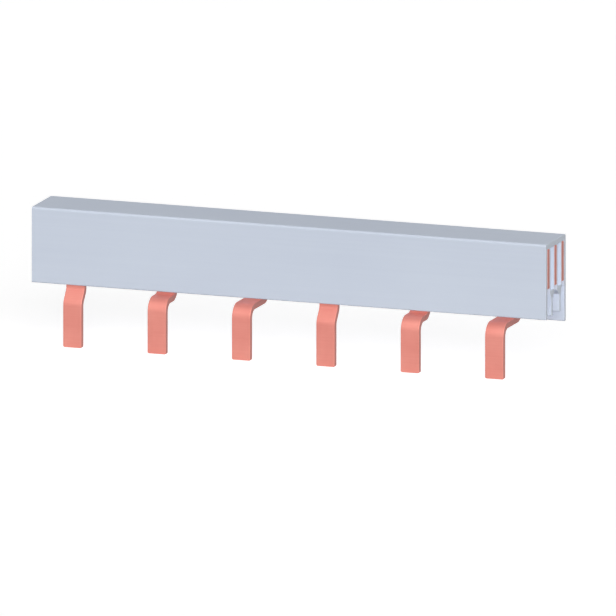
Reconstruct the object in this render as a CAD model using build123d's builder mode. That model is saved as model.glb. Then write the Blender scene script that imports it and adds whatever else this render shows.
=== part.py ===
from build123d import *
import os

# Three-phase comb busbar for a row of six one-module circuit breakers.
# An open-bottomed insulating profile carries three stamped copper combs, one behind the other.
# The tags of all three combs come out below, in one line and in one plane, one tag for each module.
#
# Frame: +X along the bar, +Y to the back, +Z up. The origin is on the contact face of the first tag,
# in the middle of the length that a terminal clamps.

# Driving dimensions, millimetres

# Layout along the bar
MODULES = 6
PHASES = 3
MODULE_PITCH = 17.8
END_BEFORE = 8.85  # end of the profile to the middle of the first tag
END_AFTER = 10.65  # middle of the last tag to the other end

# Copper combs
STRIP_THICK = 1.25  # one sheet makes the strip and its tags
STRIP_HEIGHT = 8.0
PHASE_PITCH = 4.15  # from one comb to the next, front to back
ROOT_RADIUS = 0.8  # where a tag leaves its strip
TAG_WIDTH = 3.9
TAG_TIP_RADIUS = 0.3
CLAMP_HEIGHT = 4.0  # tip of a tag to the middle of the length that a terminal clamps
TAG_DROP = 12.5  # foot of the front wall down to the tips
RUN_DROP = 1.35  # foot of the front wall down to the top of the runs that go forward
BEND_RADIUS = 2.2  # to the middle of the sheet, at the square bends
JOG_TOP = 1.15  # foot of the front wall down to the start of the front comb's jog
JOG_HEIGHT = 2.4
JOG_RADIUS = 1.85  # to the middle of the sheet

# Insulating profile
HOUSING_HEIGHT = 15.3  # front wall, foot to top
HOUSING_SETBACK = 0.8  # contact faces of the tags back to the front wall
FRONT_WALL = 0.95
REAR_WALL = 1.0
ROOF = 1.15
REAR_DROP = 2.3  # how far the rear wall reaches below the front wall
PARTITION = 0.4  # the two walls of a partition, with a hollow between them
SKIRT = 0.75  # the single wall of a partition below the combs
SKIRT_LIFT = 0.2  # foot of the skirts above the foot of the front wall
FRONT_CHAMBER = 2.3  # clear width under the front comb
REAR_CHAMBER = 2.05  # and under the rear comb
HOLLOW_BELOW = 0.5  # floor of a hollow below the feet of the strips
WEB = 0.65  # floor of a hollow
WEB_SLOPE = 1.1  # height of the slanted faces from the web to the skirt
REAR_RELIEF = 0.15  # the rear wall is thinner by this below its comb
PLAY = 0.1  # between a strip and the plastic, on each side and on top
EDGE_RADIUS = 0.5  # long top edges
FOOT_RADIUS = 0.2  # long bottom edges of the walls

# Places that follow from them

X_START = -END_BEFORE
LENGTH = END_BEFORE + (MODULES - 1) * MODULE_PITCH + END_AFTER

Z_TIP = -CLAMP_HEIGHT
Z_FOOT = Z_TIP + TAG_DROP
Z_SKIRT_FOOT = Z_FOOT + SKIRT_LIFT
Z_TOP = Z_FOOT + HOUSING_HEIGHT
Z_CEILING = Z_TOP - ROOF
Z_STRIP_TOP = Z_CEILING - PLAY
Z_STRIP_FOOT = Z_STRIP_TOP - STRIP_HEIGHT
Z_RUN = Z_FOOT - RUN_DROP - STRIP_THICK / 2
Z_WEB_TOP = Z_STRIP_FOOT - HOLLOW_BELOW
Z_WEB_FOOT = Z_WEB_TOP - WEB
Z_SKIRT_TOP = Z_WEB_FOOT - WEB_SLOPE

Y_BLADE = STRIP_THICK / 2  # middle of the tags' blades
Y_FRONT = HOUSING_SETBACK
Y_FRONT_INNER = Y_FRONT + FRONT_WALL
Y_COMB_1 = Y_FRONT_INNER + PLAY + STRIP_THICK / 2
Y_COMBS = [Y_COMB_1 + phase * PHASE_PITCH for phase in range(PHASES)]
Y_REAR_INNER = Y_COMBS[-1] + STRIP_THICK / 2 + PLAY
Y_REAR = Y_REAR_INNER + REAR_WALL
HALF_SLOT = STRIP_THICK / 2 + PLAY

os.makedirs("parts", exist_ok=True)


def partition_outline(y_ahead, y_behind, y_skirt):
    """Corners of the partition between the combs at y_ahead and y_behind, over a skirt at y_skirt."""
    y_near = y_ahead + HALF_SLOT
    y_far = y_behind - HALF_SLOT
    return [
        (y_far, Z_CEILING),
        (y_far, Z_WEB_FOOT),
        (y_skirt + SKIRT, Z_SKIRT_TOP),
        (y_skirt + SKIRT, Z_SKIRT_FOOT),
        (y_skirt, Z_SKIRT_FOOT),
        (y_skirt, Z_SKIRT_TOP),
        (y_near, Z_WEB_FOOT),
        (y_near, Z_CEILING),
        (y_near + PARTITION, Z_CEILING),
        (y_near + PARTITION, Z_WEB_TOP),
        (y_far - PARTITION, Z_WEB_TOP),
        (y_far - PARTITION, Z_CEILING),
    ]


def tag_path(phase):
    """Middle line of a tag from the foot of its strip to its tip, and the radius of its bends."""
    y_strip = Y_COMBS[phase]
    top = (y_strip, Z_STRIP_FOOT)
    tip = (Y_BLADE, Z_TIP)
    if phase == 0:
        z_jog = Z_FOOT - JOG_TOP
        return [top, (y_strip, z_jog), (Y_BLADE, z_jog - JOG_HEIGHT), tip], JOG_RADIUS
    return [top, (y_strip, Z_RUN), (Y_BLADE, Z_RUN), tip], BEND_RADIUS


# Insulating profile: roof, front wall, longer rear wall, and a hollow partition between each two combs

with BuildPart() as insulating_profile:
    with BuildSketch(Plane.YZ.offset(X_START)) as section:
        with BuildLine():
            Polyline(
                (Y_FRONT, Z_FOOT),
                (Y_FRONT, Z_TOP),
                (Y_REAR, Z_TOP),
                (Y_REAR, Z_FOOT - REAR_DROP),
                (Y_REAR_INNER + REAR_RELIEF, Z_FOOT - REAR_DROP),
                (Y_REAR_INNER + REAR_RELIEF, Z_WEB_FOOT),
                (Y_REAR_INNER, Z_WEB_FOOT + REAR_RELIEF),
                (Y_REAR_INNER, Z_CEILING),
                (Y_FRONT_INNER, Z_CEILING),
                (Y_FRONT_INNER, Z_FOOT),
                close=True,
            )
        make_face()
        fillet(section.vertices().group_by(Axis.Y)[-1], EDGE_RADIUS)
        skirts = [Y_FRONT_INNER + FRONT_CHAMBER, Y_REAR_INNER - REAR_CHAMBER - SKIRT]
        for y_ahead, y_behind, y_skirt in zip(Y_COMBS, Y_COMBS[1:], skirts):
            with BuildLine():
                Polyline(*partition_outline(y_ahead, y_behind, y_skirt), close=True)
            make_face()
        feet = section.vertices().filter_by_position(Axis.Y, Z_FOOT - REAR_DROP, Z_SKIRT_FOOT)
        fillet(feet, FOOT_RADIUS)
    extrude(amount=LENGTH)

insulating_profile.part.label = "insulating_profile"
export_step(insulating_profile.part, "parts/insulating_profile.step")


# Copper combs: a flat strip on edge, with a bent tag at every third module

for phase, y_strip in enumerate(Y_COMBS):
    path, bend_radius = tag_path(phase)
    with BuildPart() as copper_comb:
        with BuildSketch(Plane.YZ.offset(X_START)):
            with Locations((y_strip, Z_STRIP_FOOT + STRIP_HEIGHT / 2)):
                Rectangle(STRIP_THICK, STRIP_HEIGHT)
        extrude(amount=LENGTH)
        for module in range(phase, MODULES, PHASES):
            with BuildSketch(Plane.YZ.offset(module * MODULE_PITCH - TAG_WIDTH / 2)):
                with BuildLine():
                    FilletPolyline(*path, radius=bend_radius)
                trace(line_width=STRIP_THICK)
            extrude(amount=TAG_WIDTH)
        across = copper_comb.edges().filter_by(Axis.Y)
        fillet(across.group_by(Axis.Z)[0], TAG_TIP_RADIUS)
        at_foot = copper_comb.edges().filter_by(Axis.Y).filter_by_position(
            Axis.Z, Z_STRIP_FOOT - PLAY, Z_STRIP_FOOT + PLAY
        )
        fillet(at_foot.sort_by(Axis.X)[1:-1], ROOT_RADIUS)
    copper_comb.part.label = f"copper_comb_{phase + 1}"
    export_step(copper_comb.part, f"parts/copper_comb_{phase + 1}.step")
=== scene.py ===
"""Comb busbar: the finishes of its plastic and copper, and the studio that it stands in.

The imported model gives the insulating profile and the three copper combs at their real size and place.
This script breaks their sharp edges, gives each its finish, and adds the floor, the light and the camera.
A value whose name ends in _mm is in millimetres, which the mm() function turns to metres.
"""

import enum
import logging
import math
from dataclasses import dataclass, field

import bmesh
import bpy
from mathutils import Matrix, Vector


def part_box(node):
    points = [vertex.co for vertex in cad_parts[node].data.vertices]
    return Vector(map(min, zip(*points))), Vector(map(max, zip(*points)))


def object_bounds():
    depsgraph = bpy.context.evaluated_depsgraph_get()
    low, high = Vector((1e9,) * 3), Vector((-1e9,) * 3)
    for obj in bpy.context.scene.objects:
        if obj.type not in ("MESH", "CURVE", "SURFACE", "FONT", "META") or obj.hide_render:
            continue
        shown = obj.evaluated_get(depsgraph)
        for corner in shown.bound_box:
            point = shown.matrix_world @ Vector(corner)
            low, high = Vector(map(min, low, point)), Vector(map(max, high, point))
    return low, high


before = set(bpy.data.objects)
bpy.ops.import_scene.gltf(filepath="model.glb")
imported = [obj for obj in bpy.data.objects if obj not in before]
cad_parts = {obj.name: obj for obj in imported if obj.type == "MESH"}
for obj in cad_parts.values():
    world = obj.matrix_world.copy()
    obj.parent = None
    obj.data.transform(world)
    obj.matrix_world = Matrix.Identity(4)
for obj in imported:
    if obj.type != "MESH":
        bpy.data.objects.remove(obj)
CAD_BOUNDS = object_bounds()

PROFILE_NODE = "insulating_profile"
WHITE = "#ffffff"

# A Mix node has several sockets of the same name, so its colours are reached by number
MIX_FIRST = 6
MIX_SECOND = 7
MIX_RESULT = 2

# Strength of each finer layer of a pattern, next to the coarser one before it
FINER_LAYER = 0.55

# How far a face looks along the bar, from 0 to 1, where it starts to count as a cut face and where it is one
CUT_FACE_FROM = 0.7
CUT_FACE_TO = 0.95

logging.basicConfig(level=logging.INFO, format="%(name)s: %(message)s")
log = logging.getLogger("busbar")


def mm(length: float) -> float:
    """Turns millimetres to Blender's metres."""
    return length / 1000.0


def linear(colour: str) -> tuple[float, float, float, float]:
    """Turns an sRGB hex colour to linear values.

    Args:
        colour: sRGB colour as "#rrggbb".

    Returns:
        Linear red, green and blue, and an opacity of 1.
    """
    def channel(value: float) -> float:
        """Turns one sRGB channel to linear."""
        return value / 12.92 if value <= 0.04045 else ((value + 0.055) / 1.055) ** 2.4

    red, green, blue = (channel(int(colour[i:i + 2], 16) / 255.0) for i in (1, 3, 5))
    return red, green, blue, 1.0


def direction(azimuth: float, elevation: float) -> Vector:
    """Finds the direction from the object to where a camera or a lamp stands.

    Args:
        azimuth: degrees round from the front, to the right.
        elevation: degrees above the horizon.

    Returns:
        The direction, of length 1.
    """
    a, e = math.radians(azimuth), math.radians(elevation)
    return Vector((math.sin(a) * math.cos(e), -math.cos(a) * math.cos(e), math.sin(e)))


def add_node(
    tree: bpy.types.NodeTree,
    kind: str,
    settings: dict[str, object] | None = None,
    inputs: dict[str | int, object] | None = None,
) -> bpy.types.Node:
    """Adds a node with its settings and links.

    Args:
        tree: node tree that takes the node.
        kind: Blender's name for the kind of node.
        settings: attributes of the node itself, such as its operation.
        inputs: input names or numbers, each with a value or with the output socket to link to it.

    Returns:
        The new node.
    """
    node = tree.nodes.new(kind)
    for name, value in (settings or {}).items():
        setattr(node, name, value)
    for key, value in (inputs or {}).items():
        if isinstance(value, bpy.types.NodeSocket):
            tree.links.new(value, node.inputs[key])
        else:
            node.inputs[key].default_value = value
    return node


def empty_material(name: str) -> tuple[bpy.types.Material, bpy.types.NodeTree]:
    """Makes a material with no nodes.

    Args:
        name: name of the material.

    Returns:
        The material and its node tree.
    """
    material = bpy.data.materials.new(name)
    material.use_nodes = True
    material.node_tree.nodes.clear()
    return material, material.node_tree


def facing_along_bar(tree: bpy.types.NodeTree, normal: bpy.types.NodeSocket) -> bpy.types.NodeSocket:
    """Finds the faces that look along the bar: its ends, and the sides of the tags.

    Args:
        tree: node tree that takes the nodes.
        normal: output socket with the face's direction on the object.

    Returns:
        The output socket of a mask, 1 on those faces and 0 on the others.
    """
    parts = add_node(tree, "ShaderNodeSeparateXYZ", inputs={0: normal})
    along = add_node(tree, "ShaderNodeMath", {"operation": "ABSOLUTE"}, {0: parts.outputs["X"]})
    mask = add_node(tree, "ShaderNodeMapRange", {"interpolation_type": "SMOOTHSTEP"}, {
        "Value": along.outputs[0],
        "From Min": CUT_FACE_FROM,
        "From Max": CUT_FACE_TO,
    })
    return mask.outputs["Result"]


def seen_rays(tree: bpy.types.NodeTree) -> bpy.types.NodeSocket:
    """Finds the rays that show the background: from the camera, in a reflection or through glass.

    Args:
        tree: node tree that takes the nodes.

    Returns:
        The output socket of a mask, 1 for those rays and 0 for the rays that carry light.
    """
    rays = add_node(tree, "ShaderNodeLightPath")
    direct = add_node(tree, "ShaderNodeMath", {"operation": "MAXIMUM"}, {
        0: rays.outputs["Is Camera Ray"],
        1: rays.outputs["Is Glossy Ray"],
    })
    every = add_node(tree, "ShaderNodeMath", {"operation": "MAXIMUM"}, {
        0: direct.outputs[0],
        1: rays.outputs["Is Transmission Ray"],
    })
    return every.outputs[0]


@dataclass(frozen=True)
class Grain:
    """An uneven pattern whose grain may be longer one way than another."""

    size_mm: tuple[float, float, float]  # along X, Y and Z
    detail: float = 2.0  # how many finer layers it has

    def draw(self, tree: bpy.types.NodeTree, place: bpy.types.NodeSocket) -> bpy.types.NodeSocket:
        """Draws the pattern.

        Args:
            tree: node tree that takes the pattern.
            place: output socket with the place on the object, in metres.

        Returns:
            The output socket of the pattern, from 0 to 1.
        """
        scaled = add_node(tree, "ShaderNodeVectorMath", {"operation": "MULTIPLY"}, {
            0: place,
            1: tuple(1.0 / mm(size) for size in self.size_mm),
        })
        noise = add_node(tree, "ShaderNodeTexNoise", inputs={
            "Vector": scaled.outputs[0],
            "Scale": 1.0,
            "Detail": self.detail,
            "Roughness": FINER_LAYER,
        })
        return noise.outputs["Fac"]


@dataclass(frozen=True)
class CutStock:
    """The finish of stock that is made in a long length and then cut.

    Broad patches and fine lines along the bar take its skin from a darker tone to a lighter one. Its cut
    faces have a tone, a roughness and marks of their own.
    """

    name: str
    shade: str  # darker tone of the skin
    light: str  # lighter tone of the skin
    cut: str  # tone of the cut faces
    roughness: float
    cut_roughness: float
    patches: Grain
    lines: Grain
    marks: Grain  # on the cut faces
    line_share: float  # strength of the lines in the colour, next to the patches
    shade_at: float  # value of the patches and lines together that has the darker tone
    light_at: float  # and the lighter one
    line_height_mm: float
    mark_height_mm: float

    def lustre(self) -> dict[str, float]:
        """Gives the shader settings that only this material has."""
        return {}

    def make(self) -> bpy.types.Material:
        """Makes the material.

        Returns:
            The material.
        """
        material, tree = empty_material(self.name)
        coordinates = add_node(tree, "ShaderNodeTexCoord")
        place = coordinates.outputs["Object"]
        cut = facing_along_bar(tree, coordinates.outputs["Normal"])
        patches = self.patches.draw(tree, place)
        lines = self.lines.draw(tree, place)
        marks = self.marks.draw(tree, place)

        roughness = add_node(tree, "ShaderNodeMapRange", inputs={
            "Value": cut,
            "To Min": self.roughness,
            "To Max": self.cut_roughness,
        })
        shader = add_node(tree, "ShaderNodeBsdfPrincipled", inputs={
            "Base Color": self.colour(tree, patches, lines, cut),
            "Roughness": roughness.outputs["Result"],
            "Normal": self.relief(tree, lines, marks, cut),
            **self.lustre(),
        })
        add_node(tree, "ShaderNodeOutputMaterial", inputs={"Surface": shader.outputs[0]})
        return material

    def colour(
        self,
        tree: bpy.types.NodeTree,
        patches: bpy.types.NodeSocket,
        lines: bpy.types.NodeSocket,
        cut: bpy.types.NodeSocket,
    ) -> bpy.types.NodeSocket:
        """Colours the skin between its two tones, and the cut faces in theirs.

        Args:
            tree: node tree that takes the nodes.
            patches: output socket of the broad patches.
            lines: output socket of the lines along the bar.
            cut: output socket of the cut faces' mask.

        Returns:
            The output socket of the colour.
        """
        tone = add_node(tree, "ShaderNodeMath", {"operation": "MULTIPLY_ADD"}, {
            0: lines,
            1: self.line_share,
            2: patches,
        })
        spread = add_node(tree, "ShaderNodeMapRange", inputs={
            "Value": tone.outputs[0],
            "From Min": self.shade_at,
            "From Max": self.light_at,
        })
        skin = add_node(tree, "ShaderNodeMix", {"data_type": "RGBA"}, {
            "Factor": spread.outputs["Result"],
            MIX_FIRST: linear(self.shade),
            MIX_SECOND: linear(self.light),
        })
        colour = add_node(tree, "ShaderNodeMix", {"data_type": "RGBA"}, {
            "Factor": cut,
            MIX_FIRST: skin.outputs[MIX_RESULT],
            MIX_SECOND: linear(self.cut),
        })
        return colour.outputs[MIX_RESULT]

    def relief(
        self,
        tree: bpy.types.NodeTree,
        lines: bpy.types.NodeSocket,
        marks: bpy.types.NodeSocket,
        cut: bpy.types.NodeSocket,
    ) -> bpy.types.NodeSocket:
        """Raises the lines all over, and the marks on the cut faces.

        Args:
            tree: node tree that takes the nodes.
            lines: output socket of the lines along the bar.
            marks: output socket of the cut faces' marks.
            cut: output socket of the cut faces' mask.

        Returns:
            The output socket of the face's direction, with the relief in it.
        """
        line_bump = add_node(tree, "ShaderNodeBump", inputs={
            "Height": lines,
            "Distance": mm(self.line_height_mm),
        })
        mark_height = add_node(tree, "ShaderNodeMath", {"operation": "MULTIPLY"}, {0: marks, 1: cut})
        mark_bump = add_node(tree, "ShaderNodeBump", inputs={
            "Height": mark_height.outputs[0],
            "Distance": mm(self.mark_height_mm),
            "Normal": line_bump.outputs["Normal"],
        })
        return mark_bump.outputs["Normal"]


@dataclass(frozen=True)
class ExtrudedPvc(CutStock):
    """Rigid PVC in light blue-grey, extruded through a die and sawn to length.

    The die leaves a soft sheen with faint lines along the bar, and the saw leaves the ends dull, with fine
    upright marks.
    """

    name: str = "extruded_pvc"
    shade: str = "#c1c9d7"
    light: str = "#c5cdda"
    cut: str = "#ccd3dd"
    roughness: float = 0.6
    cut_roughness: float = 0.7
    patches: Grain = Grain(size_mm=(44.0, 22.0, 22.0), detail=3.0)  # the plastic's uneven colour
    # Real die lines are under 0.1 mm apart, too fine to show, so these are coarser
    lines: Grain = Grain(size_mm=(70.0, 0.5, 0.5))
    marks: Grain = Grain(size_mm=(0.35, 0.35, 4.2))  # left by the teeth of the saw
    line_share: float = 0.35
    shade_at: float = 0.5
    light_at: float = 0.85
    line_height_mm: float = 0.006
    mark_height_mm: float = 0.02
    ior: float = 1.53
    gloss: float = 0.1  # the filler in the plastic leaves it nearly without gloss

    def lustre(self) -> dict[str, float]:
        """Gives the shader settings that only this material has."""
        return {"IOR": self.ior, "Specular IOR Level": self.gloss}


@dataclass(frozen=True)
class StampedCopper(CutStock):
    """Bare copper strip, rolled, then stamped and bent, and left unpolished.

    Rolling leaves a soft satin face with fine lines along the bar, and stamping leaves the cut edges duller.
    Their darker tone is partly painted shade, which stands for the shade on the sides of the tags and the
    ends of the strips. The rolled faces have a faint tarnish.
    """

    name: str = "stamped_copper"
    shade: str = "#d38074"
    light: str = "#db8b7e"
    # painted shade: this darker tone of the cut faces partly stands for the shade on the tag sides and strip
    # ends
    cut: str = "#b9796f"
    roughness: float = 0.5
    cut_roughness: float = 0.62
    patches: Grain = Grain(size_mm=(7.0, 7.0, 7.0), detail=4.0)  # tarnish
    # Real rolling lines are a few hundredths of a millimetre apart, too fine to show, so these are coarser
    lines: Grain = Grain(size_mm=(14.0, 0.3, 0.3))
    marks: Grain = Grain(size_mm=(0.25, 2.0, 0.25))  # left by the punch, through the sheet
    line_share: float = 0.4
    shade_at: float = 0.5
    light_at: float = 0.9
    line_height_mm: float = 0.006
    mark_height_mm: float = 0.015
    metallic: float = 0.3  # a dull oxide film hides most of the metal

    def lustre(self) -> dict[str, float]:
        """Gives the shader settings that only this material has."""
        return {"Metallic": self.metallic}


@dataclass(frozen=True)
class PaperSweep:
    """Matte white background paper.

    The camera and reflections see it white, lifted to pure white where nothing shades it. The light that it
    sends back to the object is that of a pale grey paper, so that undersides keep their depth.
    """

    seen: str = "#fafafa"
    lit: str = "#b4b4b4"
    lift: float = 0.32  # what the camera and reflections see on top of the light that falls on the paper

    def make(self) -> bpy.types.Material:
        """Makes the material.

        Returns:
            The material.
        """
        material, tree = empty_material("paper_sweep")
        seen = seen_rays(tree)
        colour = add_node(tree, "ShaderNodeMix", {"data_type": "RGBA"}, {
            "Factor": seen,
            MIX_FIRST: linear(self.lit),
            MIX_SECOND: linear(self.seen),
        })
        paper = add_node(tree, "ShaderNodeBsdfDiffuse", inputs={"Color": colour.outputs[MIX_RESULT]})
        strength = add_node(tree, "ShaderNodeMath", {"operation": "MULTIPLY"}, {0: seen, 1: self.lift})
        glow = add_node(tree, "ShaderNodeEmission", inputs={"Strength": strength.outputs[0]})
        both = add_node(tree, "ShaderNodeAddShader", inputs={0: paper.outputs[0], 1: glow.outputs[0]})
        add_node(tree, "ShaderNodeOutputMaterial", inputs={"Surface": both.outputs[0]})
        return material


@dataclass
class RoundedNode:
    """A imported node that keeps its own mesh, with its sharp edges broken and a finish put on."""

    name: str
    edge_mm: float
    segments: int = 2
    merge_mm: float = 0.001  # corners nearer to each other than this are joined
    flat_deg: float = 0.5  # faces that turn by less than this are one flat
    sharp_deg: float = 40.0  # edges that turn by more than this are broken
    flat_weight: int = 80  # how far the large flats set the shading of the broken edges, of 100

    def round_edges(self) -> None:
        """Breaks the sharp edges with modifiers, which leave the mesh as it was packed."""
        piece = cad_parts[self.name]
        joined = piece.modifiers.new("joined_faces", "WELD")
        joined.merge_threshold = mm(self.merge_mm)
        flats = piece.modifiers.new("whole_flats", "DECIMATE")
        flats.decimate_type = "DISSOLVE"
        flats.angle_limit = math.radians(self.flat_deg)
        edges = piece.modifiers.new("broken_edges", "BEVEL")
        edges.width = mm(self.edge_mm)
        edges.segments = self.segments
        edges.limit_method = "ANGLE"
        edges.angle_limit = math.radians(self.sharp_deg)
        edges.use_clamp_overlap = True
        shading = piece.modifiers.new("flat_shading", "WEIGHTED_NORMAL")
        shading.keep_sharp = False
        shading.weight = self.flat_weight

    def dress(self, material: bpy.types.Material) -> None:
        """Puts a material in each of the node's slots.

        Args:
            material: the finish of the whole node.
        """
        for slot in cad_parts[self.name].material_slots:
            slot.material = material


@dataclass
class InsulatingProfile:
    """The extruded plastic profile that covers and parts the combs."""

    edge_mm: float = 0.08
    finish: ExtrudedPvc = field(default_factory=ExtrudedPvc)

    def build(self) -> list[str]:
        """Rounds the profile's edges and dresses it.

        Returns:
            The names of the pieces.
        """
        profile = RoundedNode(PROFILE_NODE, self.edge_mm)
        profile.round_edges()
        profile.dress(self.finish.make())
        return [profile.name]


class CombPlace(enum.Enum):
    """Where a comb stands in the profile, with the name of its node."""

    FRONT = "copper_comb_1"
    MIDDLE = "copper_comb_2"
    REAR = "copper_comb_3"


@dataclass
class CopperCombs:
    """The three stamped copper combs, which share one finish."""

    edge_mm: float = 0.12  # stamping rolls the edge over by about this
    finish: StampedCopper = field(default_factory=StampedCopper)

    def build(self) -> list[str]:
        """Rounds the combs' edges and dresses them.

        Returns:
            The names of the pieces.
        """
        copper = self.finish.make()
        combs = [RoundedNode(place.value, self.edge_mm) for place in CombPlace]
        for comb in combs:
            comb.round_edges()
            comb.dress(copper)
        return [comb.name for comb in combs]


@dataclass(frozen=True)
class Softbox:
    """A lamp that is so large and far away that it lights everything evenly."""

    azimuth: float  # degrees round from the front, to the right
    elevation: float  # degrees above the horizon
    width: float  # degrees of the sky that it fills
    level: float  # how bright a white face gets that is turned to it
    shades: bool  # whether it casts shadows


class Lamp(enum.Enum):
    """The lamps of the studio.

    The fill casts no shadows, so that the runs of the tags stay light under the profile. The bounce stands
    for the light that a pale room sends back from behind and below, and casts none either.
    """

    KEY = Softbox(azimuth=28.0, elevation=20.0, width=45.0, level=0.3, shades=True)
    FILL = Softbox(azimuth=30.0, elevation=40.0, width=60.0, level=0.88, shades=False)
    BOUNCE = Softbox(azimuth=205.0, elevation=-12.0, width=20.0, level=0.42, shades=False)


@dataclass
class Studio:
    """Floor, softboxes and surrounding light."""

    floor_side_mm: float = 4000.0
    floor_gap_mm: float = 0.02  # so that the tips don't lie in the floor's own plane
    ambient_level: float = 0.05  # how bright a white face gets from all round
    backdrop_level: float = 1.0  # white, for the camera and reflections alone
    paper: PaperSweep = field(default_factory=PaperSweep)

    def build(self) -> list[str]:
        """Builds the floor, the lamps and the world.

        Returns:
            The names of the floor and the lamps.
        """
        floor = self.lay_floor()
        lamps = [self.hang_lamp(lamp) for lamp in Lamp]
        self.light_world()
        return [floor, *lamps]

    def lay_floor(self) -> str:
        """Lays the floor under the tips of the tags.

        Returns:
            The floor's name.
        """
        mesh = bpy.data.meshes.new("floor")
        shape = bmesh.new()
        bmesh.ops.create_grid(shape, x_segments=1, y_segments=1, size=mm(self.floor_side_mm) / 2.0)
        shape.to_mesh(mesh)
        shape.free()
        floor = bpy.data.objects.new("floor", mesh)
        centre = (CAD_BOUNDS[0] + CAD_BOUNDS[1]) / 2.0
        floor.location = (centre.x, centre.y, CAD_BOUNDS[0].z - mm(self.floor_gap_mm))
        mesh.materials.append(self.paper.make())
        bpy.context.scene.collection.objects.link(floor)
        return floor.name

    def hang_lamp(self, lamp: Lamp) -> str:
        """Hangs one lamp, turned to the object.

        Args:
            lamp: which lamp.

        Returns:
            The lamp's name.
        """
        softbox = lamp.value
        name = lamp.name.lower()
        light = bpy.data.lights.new(name, "SUN")
        light.angle = math.radians(softbox.width)
        # A sun of strength pi lights a white face to white
        light.energy = softbox.level * math.pi
        light.use_shadow = softbox.shades
        holder = bpy.data.objects.new(name, light)
        towards = direction(softbox.azimuth, softbox.elevation)
        holder.rotation_euler = towards.to_track_quat("Z", "Y").to_euler()
        bpy.context.scene.collection.objects.link(holder)
        return name

    def light_world(self) -> None:
        """Lights the object evenly from all round, in front of a white background."""
        world = bpy.data.worlds.new("studio")
        bpy.context.scene.world = world
        world.use_nodes = True
        tree = world.node_tree
        tree.nodes.clear()
        light = add_node(tree, "ShaderNodeBackground", inputs={
            "Color": linear(WHITE),
            "Strength": self.ambient_level,
        })
        backdrop = add_node(tree, "ShaderNodeBackground", inputs={
            "Color": linear(WHITE),
            "Strength": self.backdrop_level,
        })
        mix = add_node(tree, "ShaderNodeMixShader", inputs={
            0: seen_rays(tree),
            1: light.outputs[0],
            2: backdrop.outputs[0],
        })
        add_node(tree, "ShaderNodeOutputWorld", inputs={"Surface": mix.outputs[0]})


@dataclass
class Viewpoint:
    """The camera: a parallel view, at the photograph's angle and scale."""

    azimuth: float = 19.8  # degrees round from the front, to the right
    elevation: float = 11.93  # degrees above the horizon
    pixels_per_mm: float = 5.038
    image_side_px: int = 616
    distance_mm: float = 600.0
    near_mm: float = 1.0  # nothing nearer to the camera than this is drawn
    far_mm: float = 10000.0  # nor anything further away than this
    aim_along_mm: float = 58.31  # the middle of the picture, from the profile's left end along its front wall
    aim_below_mm: float = 16.36  # and below the top of the profile

    def build(self) -> list[str]:
        """Sets up the scene's camera.

        Returns:
            The camera's name.
        """
        camera = bpy.data.cameras.new("camera")
        camera.type = "ORTHO"
        camera.ortho_scale = mm(self.image_side_px / self.pixels_per_mm)
        camera.clip_start = mm(self.near_mm)
        camera.clip_end = mm(self.far_mm)
        holder = bpy.data.objects.new("camera", camera)
        low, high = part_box(PROFILE_NODE)
        aim = Vector((low[0] + mm(self.aim_along_mm), low[1], high[2] - mm(self.aim_below_mm)))
        back = direction(self.azimuth, self.elevation)
        holder.location = aim + back * mm(self.distance_mm)
        holder.rotation_euler = back.to_track_quat("Z", "Y").to_euler()
        bpy.context.scene.collection.objects.link(holder)
        bpy.context.scene.camera = holder
        return [holder.name]


def main() -> None:
    """Builds the camera, the studio and the busbar, and reports each piece."""
    bpy.context.scene.view_settings.view_transform = "Standard"
    for assembly in (Viewpoint(), Studio(), InsulatingProfile(), CopperCombs()):
        for name in assembly.build():
            log.info("%s is in place", name)


if __name__ == "__main__":
    main()
